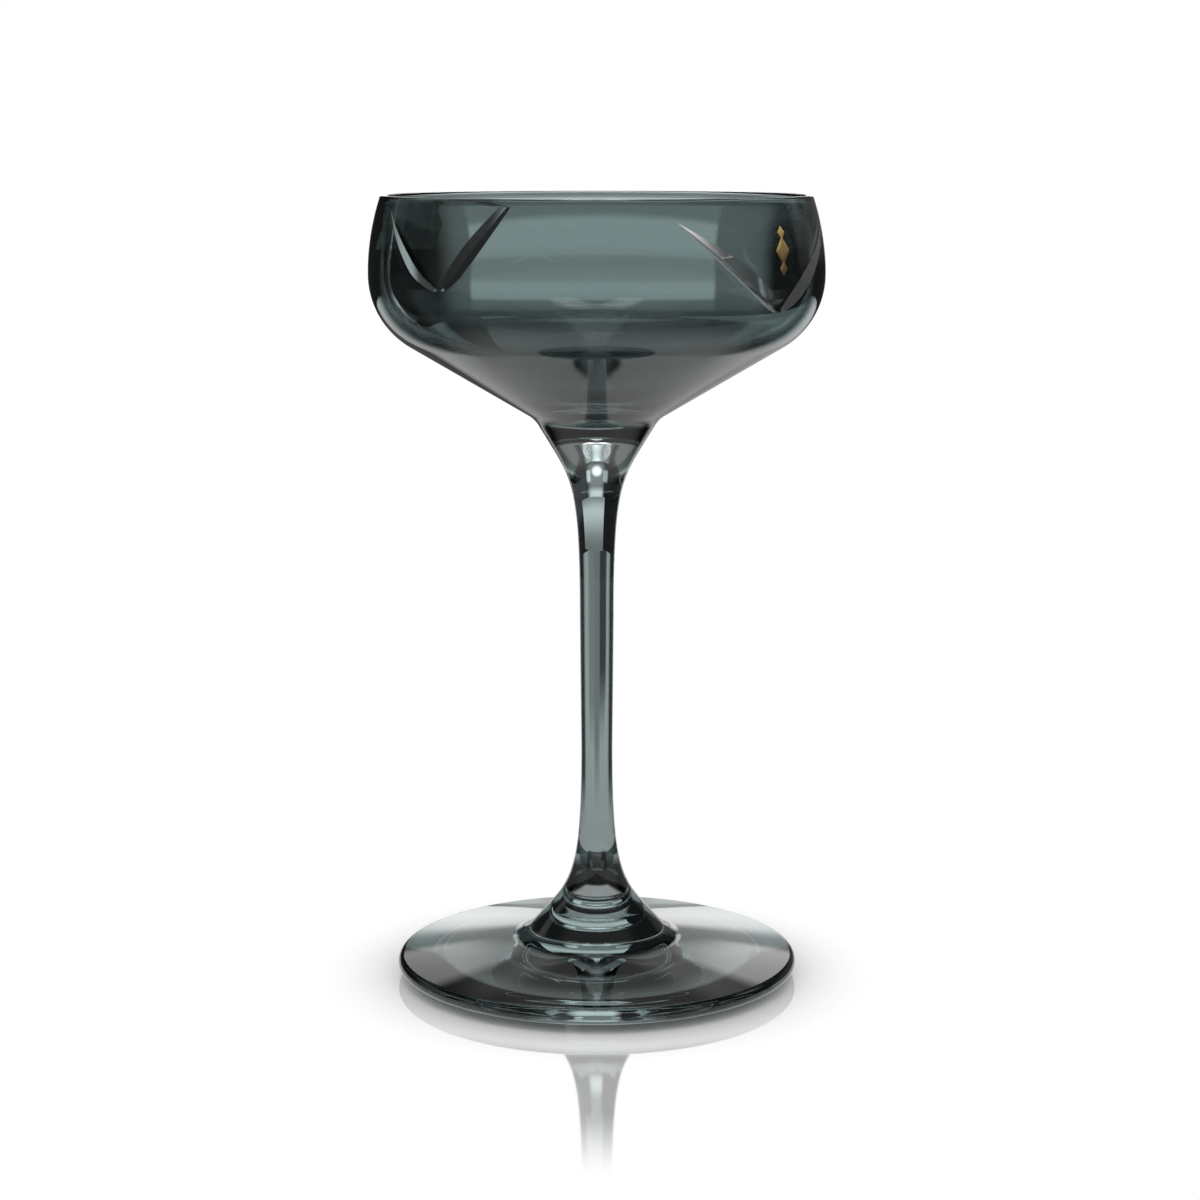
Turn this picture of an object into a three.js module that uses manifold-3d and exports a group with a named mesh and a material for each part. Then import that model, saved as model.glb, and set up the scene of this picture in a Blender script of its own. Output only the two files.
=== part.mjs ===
// A stemmed coupe in smoked glass: a blown bowl, a drawn stem and a disc foot, fused at two welds.
// Four mitre blades are ground into the bowl's outside wall, two to a V, front and rear.
// A small gilt ornament sits between the blades of each V.
// Millimetres, +Z up, origin on the table under the middle of the foot. The front V faces -Y.
import * as THREE from 'three';
import { mergeVertices } from 'three/addons/utils/BufferGeometryUtils.js';
import Module from 'manifold-3d';

const wasm = await Module();
wasm.setup();

// Foot
const footDiameter = 86;
const footEdgeRadius = 1.55; // half the thickness of the rounded edge
const footEdgeLift = 1.6; // underside of the edge above the table
const footSlope = 8.4; // degrees, the low cone on top of the foot
const footRingDiameter = 67; // middle of the flat ring that stands on the table
const footRingWidth = 3;
const footDishDepth = 1.8; // hollow under the middle of the foot
const footFilletRadius = 7; // where the low cone turns up towards the stem

// Stem
const stemLength = 108.5; // from weld to weld
const stemBaseDiameter = 28.6; // at the weld on the foot
const stemBaseSlope = 48.7; // degrees above the table, at the weld on the foot
const stemBaseReach = 13; // how far the flare keeps that slope
const stemWaistDiameter = 6.7;
const stemWaistHeight = 39.5; // above the weld on the foot
const stemWaistReach = 30; // how far the stem stays slim below the waist
const stemNeckDiameter = 7.2;
const stemNeckDrop = 40.5; // below the weld on the bowl
const stemNeckReach = 30; // how far the stem stays slim above the neck
const stemTopDiameter = 24.4; // at the weld on the bowl
const stemTopLean = 30.5; // degrees from upright, at the weld on the bowl
const stemTopReach = 13.2; // how far the flare keeps that lean

// Bowl
const bowlDiameter = 95; // at its widest
const rimDiameter = 90;
const bowlSideHeight = 15.7; // from the widest level up to the rim
const bowlShoulderRadius = 17.2;
const bowlConeAngle = 30.6; // degrees above level
const bowlWall = 2.2;
const rimWall = 1.3;
const bowlBase = 2.6; // glass under the middle of the well
const bowlWeldFillet = 6.4;

// Mitre blades of each V
const bladeDepth = 1.1;
const bladeAngle = 122; // degrees between the two ground faces
const bladeTipDrop = 3.6; // upper tip below the rim
const bladeHeelDrop = 6; // lower end below the widest level
const bladeSpan = 26.3; // along the wall, from the middle of the V to an upper tip
const bladeParting = 0.5; // along the wall, from the middle of the V to a lower end
const bladeDeepest = 0.74; // deepest place, counted from the tip along the blade
const bladeSkim = 0.04; // both ends run out this far clear of the wall
const wheelLift = 0.6; // the grinding wheel's section stands this far out of the wall

// Gilt ornament: a chain of lozenges
const giltGap = 0.06; // between the wall and the gilding
const giltThickness = 0.12;
const ornamentRise = 6; // its middle above the widest level
const bigLozengeWidth = 4.6;
const bigLozengeHeight = 4.8;
const smallLozengeWidth = 2.4;
const smallLozengeHeight = 2.4;
const lozengeLink = 0.7; // width of the chain between two lozenges

// Fineness of the facets
const roundSides = 72;
const arcSteps = 3; // an arc has twice as many facets
const flareSteps = 10;
const bladeSteps = 14;

const turn = THREE.MathUtils.degToRad;
const bowlRadius = bowlDiameter / 2;
const rimRadius = rimDiameter / 2;

// The point at a distance from another, in a direction given in degrees above the outward level.
function step(from, degrees, distance) {
  const angle = turn(degrees);
  return new THREE.Vector2(from.x + distance * Math.cos(angle), from.y + distance * Math.sin(angle));
}

// A circular arc about a centre, from one direction to another, in degrees.
function addArc(path, centre, radius, fromDegrees, toDegrees) {
  path.absarc(centre.x, centre.y, radius, turn(fromDegrees), turn(toDegrees), toDegrees < fromDegrees);
}

// A smooth flare between two points, leaving each along its own direction.
function addFlare(path, startHandle, endHandle, end) {
  path.bezierCurveTo(startHandle.x, startHandle.y, endHandle.x, endHandle.y, end.x, end.y);
}

// Turns an outline in radius and height about the Z axis.
function revolve(path, steps) {
  const tooClose = 1e-4;
  const points = path.getPoints(steps);
  const outline = points.filter((point, i) => i === 0 || point.distanceTo(points[i - 1]) > tooClose);
  return new THREE.LatheGeometry(outline, roundSides).rotateX(Math.PI / 2);
}

// A closed geometry as a solid that can be joined and cut.
function toSolid(geometry) {
  const bare = geometry.clone();
  bare.deleteAttribute('normal');
  bare.deleteAttribute('uv');
  const merged = mergeVertices(bare);
  const corners = [];
  for (let i = 0; i < merged.index.count; i += 3) {
    const [a, b, c] = merged.index.array.slice(i, i + 3);
    if (a !== b && b !== c && c !== a) corners.push(a, b, c);
  }
  const mesh = new wasm.Mesh({
    numProp: 3,
    vertProperties: new Float32Array(merged.attributes.position.array),
    triVerts: new Uint32Array(corners),
  });
  return new wasm.Manifold(mesh);
}

function toGeometry(solid) {
  const mesh = solid.getMesh();
  const geometry = new THREE.BufferGeometry();
  geometry.setAttribute('position', new THREE.BufferAttribute(mesh.vertProperties, mesh.numProp));
  geometry.setIndex(new THREE.BufferAttribute(mesh.triVerts, 1));
  geometry.computeVertexNormals();
  return geometry;
}

// Foot. Its low cone rises inward from the rounded edge and turns up through a fillet to the weld.
const footEdgeCentre = new THREE.Vector2(footDiameter / 2 - footEdgeRadius, footEdgeLift + footEdgeRadius);
const footConeStart = step(footEdgeCentre, 90 - footSlope, footEdgeRadius);
const footFilletTurn = stemBaseSlope - footSlope;
const footFilletTangent = footFilletRadius * Math.tan(turn(footFilletTurn / 2));
const footCornerRadius = stemBaseDiameter / 2 + footFilletTangent * Math.cos(turn(stemBaseSlope));
const footCorner = new THREE.Vector2(
  footCornerRadius,
  footConeStart.y + (footConeStart.x - footCornerRadius) * Math.tan(turn(footSlope)),
);
const footSeat = step(footCorner, 180 - stemBaseSlope, footFilletTangent);

function footGeometry() {
  const ringInner = (footRingDiameter - footRingWidth) / 2;
  const ringOuter = (footRingDiameter + footRingWidth) / 2;
  const dishRadius = (ringInner ** 2 + footDishDepth ** 2) / (2 * footDishDepth);
  const dishSpread = THREE.MathUtils.radToDeg(Math.asin(ringInner / dishRadius));
  const toEdge = footEdgeCentre.clone().sub(new THREE.Vector2(ringOuter, 0));
  const risingUnderside = THREE.MathUtils.radToDeg(
    toEdge.angle() - Math.asin(footEdgeRadius / toEdge.length()),
  );
  const filletStart = step(footCorner, -footSlope, footFilletTangent);
  const filletCentre = step(filletStart, 90 - footSlope, footFilletRadius);
  const outline = new THREE.Path();
  outline.moveTo(0, footDishDepth);
  addArc(outline, new THREE.Vector2(0, footDishDepth - dishRadius), dishRadius, 90, 90 - dishSpread);
  outline.lineTo(ringInner, 0);
  outline.lineTo(ringOuter, 0);
  addArc(outline, footEdgeCentre, footEdgeRadius, risingUnderside - 90, 90 - footSlope);
  addArc(outline, filletCentre, footFilletRadius, 270 - footSlope, 270 - stemBaseSlope);
  outline.lineTo(footSeat.x, footSeat.y);
  outline.lineTo(0, footSeat.y);
  return revolve(outline, arcSteps);
}

// Stem. A flare rises from the weld on the foot to the slim waist, the neck widens a little
// towards the bowl, and a second flare opens to the weld under the bowl.
function stemGeometry() {
  const base = new THREE.Vector2(stemBaseDiameter / 2, 0);
  const waist = new THREE.Vector2(stemWaistDiameter / 2, stemWaistHeight);
  const neck = new THREE.Vector2(stemNeckDiameter / 2, stemLength - stemNeckDrop);
  const top = new THREE.Vector2(stemTopDiameter / 2, stemLength);
  const outline = new THREE.Path();
  outline.moveTo(0, 0);
  outline.lineTo(base.x, base.y);
  addFlare(outline, step(base, 180 - stemBaseSlope, stemBaseReach), step(waist, 270, stemWaistReach), waist);
  outline.lineTo(neck.x, neck.y);
  addFlare(outline, step(neck, 90, stemNeckReach), step(top, 270 - stemTopLean, stemTopReach), top);
  outline.lineTo(0, stemLength);
  return revolve(outline, flareSteps);
}

// Bowl, measured from its weld. A fillet leaves the weld with the stem's lean and runs into a cone,
// the cone into the round shoulder, and the shoulder into a side that draws in a little to the rim.
const weldFilletTangent = bowlWeldFillet * Math.tan(turn((90 - bowlConeAngle - stemTopLean) / 2));
const bowlCorner = step(new THREE.Vector2(stemTopDiameter / 2, 0), 90 - stemTopLean, weldFilletTangent);
const shoulderRing = bowlRadius - bowlShoulderRadius;
const coneRun = shoulderRing + bowlShoulderRadius * Math.sin(turn(bowlConeAngle)) - bowlCorner.x;
const coneRise = coneRun * Math.tan(turn(bowlConeAngle));
const widestHeight = bowlCorner.y + coneRise + bowlShoulderRadius * Math.cos(turn(bowlConeAngle));
const rimHeight = widestHeight + bowlSideHeight;
const shoulderCentre = new THREE.Vector2(shoulderRing, widestHeight);

// The arc that starts upright at a widest radius and reaches another radius higher up.
function sideArc(widest, end, rise) {
  const drawIn = widest - end;
  const radius = (rise ** 2 + drawIn ** 2) / (2 * drawIn);
  const centre = new THREE.Vector2(widest - radius, widestHeight);
  const spread = THREE.MathUtils.radToDeg(Math.asin(rise / radius));
  return { centre, radius, spread };
}
const outerSide = sideArc(bowlRadius, rimRadius, bowlSideHeight);

// The outside of shoulder and side, moved outward by an offset, from the cone up or from the rim down.
function addOuterWall(path, offset, upward) {
  const shoulder = [shoulderCentre, bowlShoulderRadius + offset];
  const side = [outerSide.centre, outerSide.radius + offset];
  if (upward) {
    addArc(path, ...shoulder, bowlConeAngle - 90, 0);
    addArc(path, ...side, 0, outerSide.spread);
  } else {
    addArc(path, ...side, outerSide.spread, 0);
    addArc(path, ...shoulder, 0, bowlConeAngle - 90);
  }
}

function bowlBlank() {
  const filletStart = new THREE.Vector2(stemTopDiameter / 2, 0);
  const filletCentre = step(filletStart, -stemTopLean, bowlWeldFillet);
  const lipRadius = rimWall / 2;
  const innerRim = rimRadius - rimWall;
  const innerSide = sideArc(bowlRadius - bowlWall, innerRim, bowlSideHeight);
  const coneCosine = Math.cos(turn(bowlConeAngle));
  const coneTip = bowlCorner.y + bowlWall / coneCosine - bowlCorner.x * Math.tan(turn(bowlConeAngle));
  const wellRadius = ((bowlBase - coneTip) * coneCosine) / (1 - coneCosine);
  const wellCentre = new THREE.Vector2(0, bowlBase + wellRadius);
  const outline = new THREE.Path();
  outline.moveTo(0, 0);
  outline.lineTo(filletStart.x, filletStart.y);
  addArc(outline, filletCentre, bowlWeldFillet, 180 - stemTopLean, 90 + bowlConeAngle);
  addOuterWall(outline, 0, true);
  addArc(outline, new THREE.Vector2(rimRadius - lipRadius, rimHeight), lipRadius, 0, 180);
  addArc(outline, innerSide.centre, innerSide.radius, innerSide.spread, 0);
  addArc(outline, shoulderCentre, bowlShoulderRadius - bowlWall, 0, bowlConeAngle - 90);
  addArc(outline, wellCentre, wellRadius, bowlConeAngle - 90, -90);
  return revolve(outline, arcSteps);
}

// A place on the outside wall, with the direction that points straight out of it.
function wallPlace(height, azimuth) {
  const onSide = height > widestHeight;
  const centre = onSide ? outerSide.centre : shoulderCentre;
  const arcRadius = onSide ? outerSide.radius : bowlShoulderRadius;
  const lift = Math.asin((height - centre.y) / arcRadius);
  const radius = centre.x + arcRadius * Math.cos(lift);
  const outward = new THREE.Vector3(Math.sin(azimuth), -Math.cos(azimuth), 0);
  const point = outward.clone().multiplyScalar(radius).setZ(height);
  const normal = outward.multiplyScalar(Math.cos(lift)).setZ(Math.sin(lift));
  return { point, normal };
}

// How deep a blade is along its length: a long run-in from the tip and a short round heel.
function bladeFullness(along) {
  if (along < bladeDeepest) return Math.sin((Math.PI / 2) * (along / bladeDeepest));
  return Math.sqrt(Math.max(0, 1 - ((along - bladeDeepest) / (1 - bladeDeepest)) ** 2));
}

// The glass that the wheel takes out for one blade: a three-cornered section along the wall.
// The hand is 1 for the blade on the right of the V and -1 for the one on its left.
function bladeCutter(middle, hand) {
  const tipHeight = rimHeight - bladeTipDrop;
  const heelHeight = widestHeight - bladeHeelDrop;
  const placeAt = (along) => wallPlace(
    THREE.MathUtils.lerp(tipHeight, heelHeight, along),
    middle + (hand * THREE.MathUtils.lerp(bladeSpan, bladeParting, along)) / bowlRadius,
  );
  const nearby = 0.01;
  const corners = [];
  const faces = [];
  for (let i = 0; i <= bladeSteps; i += 1) {
    const along = i / bladeSteps;
    const { point, normal } = placeAt(along);
    const travel = placeAt(along + nearby).point.sub(placeAt(along - nearby).point).normalize();
    const across = normal.clone().cross(travel);
    const depth = bladeDepth * bladeFullness(along) - bladeSkim;
    const halfWidth = (depth + wheelLift) * Math.tan(turn(bladeAngle / 2));
    const ridge = point.clone().addScaledVector(normal, -depth);
    const top = point.clone().addScaledVector(normal, wheelLift);
    corners.push(ridge, top.clone().addScaledVector(across, halfWidth));
    corners.push(top.clone().addScaledVector(across, -halfWidth));
  }
  const last = bladeSteps * 3;
  faces.push(0, 2, 1, last, last + 1, last + 2);
  for (let a = 0; a < last; a += 3) {
    for (let k = 0; k < 3; k += 1) {
      const b = a + k;
      const c = a + ((k + 1) % 3);
      faces.push(b, c, c + 3, b, c + 3, b + 3);
    }
  }
  return new THREE.BufferGeometry().setFromPoints(corners).setIndex(faces);
}

function bowlGeometry() {
  let solid = toSolid(bowlBlank());
  for (const middle of [0, Math.PI]) {
    for (const hand of [-1, 1]) solid = solid.subtract(toSolid(bladeCutter(middle, hand)));
  }
  return toGeometry(solid);
}

// The ornament's outline: lozenges in a row, small, big and small, joined at narrow links.
function ornamentShape() {
  const sizes = [
    [smallLozengeWidth, smallLozengeHeight],
    [bigLozengeWidth, bigLozengeHeight],
    [smallLozengeWidth, smallLozengeHeight],
  ];
  const bottom = -(smallLozengeHeight + bigLozengeHeight / 2);
  const right = [];
  let level = bottom;
  for (const [width, height] of sizes) {
    right.push(new THREE.Vector2(width / 2, level + height / 2));
    level += height;
    right.push(new THREE.Vector2(lozengeLink / 2, level));
  }
  right.pop();
  const left = right.map((point) => new THREE.Vector2(-point.x, point.y)).reverse();
  return new THREE.Shape([new THREE.Vector2(0, bottom), ...right, new THREE.Vector2(0, -bottom), ...left]);
}

// Gilding: a thin skin that follows the outside wall, kept only inside the ornament's outline.
function ornamentGeometry(middle) {
  const skin = new THREE.Path();
  const skinStart = step(shoulderCentre, bowlConeAngle - 90, bowlShoulderRadius + giltGap + giltThickness);
  skin.moveTo(skinStart.x, skinStart.y);
  addOuterWall(skin, giltGap + giltThickness, true);
  addOuterWall(skin, giltGap, false);
  skin.lineTo(skinStart.x, skinStart.y);
  const stamp = new THREE.ExtrudeGeometry(ornamentShape(), { depth: bowlDiameter, bevelEnabled: false });
  stamp.rotateX(Math.PI / 2).translate(0, 0, widestHeight + ornamentRise).rotateZ(middle);
  return toGeometry(toSolid(revolve(skin, arcSteps)).intersect(toSolid(stamp)));
}

// The stack: the stem stands on the foot's weld and the bowl on the stem's.
function smokedGlass() {
  return new THREE.MeshStandardMaterial({ color: '#56645f', roughness: 0.05, metalness: 0 });
}

function gilding() {
  return new THREE.MeshStandardMaterial({ color: '#7d6334', roughness: 0.35, metalness: 1 });
}

function piece(name, geometry, material) {
  const mesh = new THREE.Mesh(geometry, material);
  mesh.name = name;
  return mesh;
}

const bowlGroup = new THREE.Group();
bowlGroup.position.z = stemLength;
bowlGroup.add(piece('bowl', bowlGeometry(), smokedGlass()));
bowlGroup.add(piece('ornament_front', ornamentGeometry(0), gilding()));
bowlGroup.add(piece('ornament_rear', ornamentGeometry(Math.PI), gilding()));

const stemGroup = new THREE.Group();
stemGroup.position.z = footSeat.y;
stemGroup.add(piece('stem', stemGeometry(), smokedGlass()));
stemGroup.add(bowlGroup);

const coupe = new THREE.Group();
coupe.add(piece('foot', footGeometry(), smokedGlass()));
coupe.add(stemGroup);

export default coupe;
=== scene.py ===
# %% [markdown]
# # A smoked coupe in cut glass
# The real glass is three gathers of hot glass: a blown bowl, a drawn stem and a pressed foot.
# They are fused at two welds, sprayed outside with a thin smoke-grey stain and fired again.
# A mitre wheel then grinds two V patterns through the stain, and a gilt ornament is printed in each.
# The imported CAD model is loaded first, because every piece below has to sit exactly where it says.

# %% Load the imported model
import math

import bmesh
import bpy
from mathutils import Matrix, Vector


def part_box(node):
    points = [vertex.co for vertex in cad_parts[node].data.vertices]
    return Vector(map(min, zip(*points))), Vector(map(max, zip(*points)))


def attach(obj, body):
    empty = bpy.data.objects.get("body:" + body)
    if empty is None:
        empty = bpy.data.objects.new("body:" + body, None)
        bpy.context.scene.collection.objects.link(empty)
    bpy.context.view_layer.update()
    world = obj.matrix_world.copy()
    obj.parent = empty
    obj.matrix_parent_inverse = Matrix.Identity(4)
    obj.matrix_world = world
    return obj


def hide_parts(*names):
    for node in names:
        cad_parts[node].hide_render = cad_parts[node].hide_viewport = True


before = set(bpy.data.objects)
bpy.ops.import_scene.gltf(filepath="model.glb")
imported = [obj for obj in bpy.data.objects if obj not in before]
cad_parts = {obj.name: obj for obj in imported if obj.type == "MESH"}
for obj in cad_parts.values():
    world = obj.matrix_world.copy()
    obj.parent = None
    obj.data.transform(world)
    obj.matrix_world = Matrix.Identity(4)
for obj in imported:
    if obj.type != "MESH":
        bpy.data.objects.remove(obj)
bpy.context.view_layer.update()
MM = 0.001

# %% [markdown]
# ## Turned outlines
# Blown glass and lathe work share one trick: half of the section, turned about an axis, is the piece.
# A Screw modifier could do the turning, but it gives no say over what each strip of faces is.
# So the outline is turned here in code. Each run of the outline carries the finish of its strip:
# stained, clear or pressed glass, or a weld, which is fused through on the real glass and can't be seen.

# %% Outline helpers
ROUND_SIDES = 256
SAME_PLACE = 0.001 * MM
SHARP_EDGE = math.radians(25)


def step(start, degrees, distance):
    """The point at a distance from another, in a direction above the outward level."""
    angle = math.radians(degrees)
    return (start[0] + distance * math.cos(angle), start[1] + distance * math.sin(angle))


def arc(centre, radius, start, stop, count):
    """Points along a circular arc, with both ends, between two directions in degrees."""
    return [step(centre, start + (stop - start) * i / count, radius) for i in range(count + 1)]


def flare(start, start_handle, end_handle, end, count):
    """Points along a Bezier curve, with both ends."""
    points = []
    for i in range(count + 1):
        t = i / count
        weights = ((1 - t) ** 3, 3 * t * (1 - t) ** 2, 3 * t**2 * (1 - t), t**3)
        corners = (start, start_handle, end_handle, end)
        points.append(tuple(sum(w * c[k] for w, c in zip(weights, corners)) for k in (0, 1)))
    return points


print("one turn has", ROUND_SIDES, "sides")

# %% Turn an outline into a piece
FINISHES = {
    "stained": {"stain": 1.0},
    "thinly stained": {"stain": 0.85},
    "clear": {},
    "pressed": {"ground": 0.6},
    "welded": {"weld": 1.0},
}
FINISH_LAYERS = ("stain", "weld", "ground")


def turned(name, runs, base=0.0):
    """A closed mesh object from runs of (finish, outline points), turned about the Z axis."""
    outline = [runs[0][1][0]]
    finishes = []
    for finish, points in runs:
        for point in points:
            if math.dist(point, outline[-1]) > SAME_PLACE:
                outline.append(point)
                finishes.append(finish)
    mesh_maker = bmesh.new()
    layers = {layer: mesh_maker.faces.layers.float.new(layer) for layer in FINISH_LAYERS}
    rings = []
    for radius, height in outline:
        count = ROUND_SIDES if radius > SAME_PLACE else 1
        turns = [2 * math.pi * i / ROUND_SIDES for i in range(count)]
        ring = [(radius * math.sin(a), -radius * math.cos(a), height + base) for a in turns]
        rings.append([mesh_maker.verts.new(place) for place in ring])
    for lower, upper, finish in zip(rings, rings[1:], finishes):
        for i in range(ROUND_SIDES):
            j = (i + 1) % ROUND_SIDES
            corners = [lower[i % len(lower)], lower[j % len(lower)]]
            corners += [upper[j % len(upper)], upper[i % len(upper)]]
            face = mesh_maker.faces.new(list(dict.fromkeys(corners)))
            face.smooth = True
            for layer in FINISH_LAYERS:
                face[layers[layer]] = FINISHES[finish].get(layer, 0.0)
    mesh = bpy.data.meshes.new(name)
    mesh_maker.to_mesh(mesh)
    mesh_maker.free()
    mesh.set_sharp_from_angle(angle=SHARP_EDGE)
    piece = bpy.data.objects.new(name, mesh)
    bpy.context.collection.objects.link(piece)
    print(name, "has", len(mesh.polygons), "faces")
    return piece


# %% [markdown]
# ## Foot
# The foot is a disc pressed from a gather: a round edge, a low cone on top and a hollow below,
# so that it stands on a narrow ring and doesn't rock. The weld to the stem is softened by a fillet.
# A cylinder with bevels could stand in for it, but here every arc runs smoothly into the next,
# so the whole section is drawn and turned.

# %% Turn the foot
foot_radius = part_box("foot")[1].x
foot_edge_radius = 1.55 * MM
foot_edge_lift = 1.6 * MM
foot_slope = 8.4
foot_ring_radius = 33.5 * MM
foot_ring_width = 3 * MM
foot_dish_depth = 1.8 * MM
foot_fillet_radius = 7 * MM
stem_base_radius = 14.3 * MM
stem_base_slope = 48.7

foot_edge = (foot_radius - foot_edge_radius, foot_edge_lift + foot_edge_radius)
foot_cone_start = step(foot_edge, 90 - foot_slope, foot_edge_radius)
fillet_turn = math.radians(stem_base_slope - foot_slope)
fillet_tangent = foot_fillet_radius * math.tan(fillet_turn / 2)
foot_corner_radius = stem_base_radius + fillet_tangent * math.cos(math.radians(stem_base_slope))
foot_cone_run = foot_cone_start[0] - foot_corner_radius
foot_corner = (
    foot_corner_radius,
    foot_cone_start[1] + foot_cone_run * math.tan(math.radians(foot_slope)),
)
foot_seat = step(foot_corner, 180 - stem_base_slope, fillet_tangent)
fillet_centre = step(
    step(foot_corner, -foot_slope, fillet_tangent), 90 - foot_slope, foot_fillet_radius
)
ring_inner = foot_ring_radius - foot_ring_width / 2
ring_outer = foot_ring_radius + foot_ring_width / 2
dish_radius = (ring_inner**2 + foot_dish_depth**2) / (2 * foot_dish_depth)
dish_spread = math.degrees(math.asin(ring_inner / dish_radius))
to_edge = Vector(foot_edge) - Vector((ring_outer, 0))
rising = math.degrees(
    math.atan2(to_edge.y, to_edge.x) - math.asin(foot_edge_radius / to_edge.length)
)
dish_centre = (0, foot_dish_depth - dish_radius)
underside = arc(dish_centre, dish_radius, 90, 90 - dish_spread, count=24)
underside += [(ring_inner, 0), (ring_outer, 0)]
top_side = arc(foot_edge, foot_edge_radius, rising - 90, 90 - foot_slope, count=24)
top_side += arc(
    fillet_centre, foot_fillet_radius, 270 - foot_slope, 270 - stem_base_slope, count=16
)
foot = turned(
    "foot_glass",
    [("pressed", underside), ("stained", top_side), ("welded", [foot_seat, (0, foot_seat[1])])],
)
print("foot seat at", round(foot_seat[1] / MM, 2), "mm, CAD", round(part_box("foot")[1].z / MM, 2))

# %% [markdown]
# ## Stem
# The stem is drawn out of the bowl's own gather while it is soft, so it has no corner anywhere.
# Two Bezier flares and a nearly straight run between them follow that pull of the glass.
# A bevelled curve could give it too, but a turned outline meets the foot and the bowl ring to ring.

# %% Turn the stem
stem_low, stem_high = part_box("stem")
stem_length = stem_high.z - stem_low.z
waist = (3.35 * MM, 39.5 * MM)
waist_reach = 30 * MM
neck = (3.6 * MM, stem_length - 40.5 * MM)
neck_reach = 30 * MM
stem_top_radius = 12.2 * MM
stem_top_lean = 30.5
stem_top_reach = 13.2 * MM
stem_base_reach = 13 * MM
FLARE_STEPS = 96

stem_base = (stem_base_radius, 0)
stem_top = (stem_top_radius, stem_length)
lower_flare = flare(
    stem_base,
    step(stem_base, 180 - stem_base_slope, stem_base_reach),
    step(waist, 270, waist_reach),
    waist,
    FLARE_STEPS,
)
upper_flare = flare(
    neck,
    step(neck, 90, neck_reach),
    step(stem_top, 270 - stem_top_lean, stem_top_reach),
    stem_top,
    FLARE_STEPS,
)
stem = turned(
    "stem_glass",
    [
        ("welded", [(0, 0), stem_base]),
        ("thinly stained", lower_flare + upper_flare),
        ("welded", [stem_top, (0, stem_length)]),
    ],
    base=stem_low.z,
)

# %% [markdown]
# ## Bowl
# The bowl is blown in a mould: a cone from the weld, a round shoulder, and a side that draws in
# a little towards the rim. The rim is cracked off and melted round. A Solidify modifier could give it
# a wall, but the real wall thins to the rim and thickens at the bottom, so the inside is drawn as well.
# The same arcs that shape the outside are used later to lay the cuts and the gilding on the wall.

# %% Measure the bowl
bowl_low, bowl_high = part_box("bowl")
bowl_radius = bowl_high.x
rim_radius = 45 * MM
rim_wall = 1.3 * MM
bowl_wall = 2.2 * MM
bowl_base = 2.6 * MM
shoulder_radius = 17.2 * MM
cone_angle = 30.6
weld_fillet = 6.4 * MM
cone_slope = math.radians(cone_angle)

rim_level = bowl_high.z - bowl_low.z - rim_wall / 2
weld_tangent = weld_fillet * math.tan(math.radians(90 - cone_angle - stem_top_lean) / 2)
weld_edge = (stem_top_radius, 0)
bowl_corner = step(weld_edge, 90 - stem_top_lean, weld_tangent)
shoulder_ring = bowl_radius - shoulder_radius
cone_run = shoulder_ring + shoulder_radius * math.sin(cone_slope) - bowl_corner[0]
cone_top = bowl_corner[1] + cone_run * math.tan(cone_slope)
widest_level = cone_top + shoulder_radius * math.cos(cone_slope)
shoulder_centre = (shoulder_ring, widest_level)


def side_arc(widest, end):
    """Centre, radius and spread of the arc that leaves the widest level upright and ends at the rim."""
    rise = rim_level - widest_level
    draw_in = widest - end
    radius = (rise**2 + draw_in**2) / (2 * draw_in)
    return (widest - radius, widest_level), radius, math.degrees(math.asin(rise / radius))


side_centre, side_radius, side_spread = side_arc(bowl_radius, rim_radius)
print("widest level", round((bowl_low.z + widest_level) / MM, 2), "mm above the table")

# %% Turn the bowl
lip_radius = rim_wall / 2
stain_end = 45
inner_centre, inner_radius, inner_spread = side_arc(bowl_radius - bowl_wall, rim_radius - rim_wall)
cone_tip = bowl_corner[1] + bowl_wall / math.cos(cone_slope)
cone_tip -= bowl_corner[0] * math.tan(cone_slope)
well_radius = (bowl_base - cone_tip) * math.cos(cone_slope) / (1 - math.cos(cone_slope))
fillet_middle = step(weld_edge, -stem_top_lean, weld_fillet)

outside = arc(fillet_middle, weld_fillet, 180 - stem_top_lean, 90 + cone_angle, count=12)
outside += arc(shoulder_centre, shoulder_radius, cone_angle - 90, 0, count=24)
outside += arc(side_centre, side_radius, 0, side_spread, count=16)
lip_centre = (rim_radius - lip_radius, rim_level)
outside += arc(lip_centre, lip_radius, 0, stain_end, count=4)
inside = arc(lip_centre, lip_radius, stain_end, 180, count=10)
inside += arc(inner_centre, inner_radius, inner_spread, 0, count=14)
inside += arc(shoulder_centre, shoulder_radius - bowl_wall, 0, cone_angle - 90, count=22)
well_centre = (0, bowl_base + well_radius)
inside += arc(well_centre, well_radius, cone_angle - 90, -90, count=20)
bowl = turned(
    "bowl_glass",
    [("welded", [(0, 0), weld_edge]), ("stained", outside), ("clear", inside)],
    base=bowl_low.z,
)

# %% [markdown]
# ## Mitre blades
# The cutter holds the bowl against a wheel with a V-shaped rim and rolls it, so that the blade
# starts as a hair line, deepens along its length and ends in a short round heel. Bump would only fake
# the shading. So the wedge that the wheel takes out is built here as a solid, and an exact Boolean
# cuts it away.

# %% Walk along a blade
blade_depth = 1.1 * MM
blade_angle = 122
blade_tip_drop = 3.6 * MM
blade_heel_drop = 6 * MM
blade_span = 26.3 * MM
blade_parting = 0.5 * MM
blade_deepest = 0.74
blade_skim = 0.04 * MM
wheel_lift = 0.6 * MM
BLADE_STEPS = 40
BLADE_NUDGE = 0.01


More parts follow.
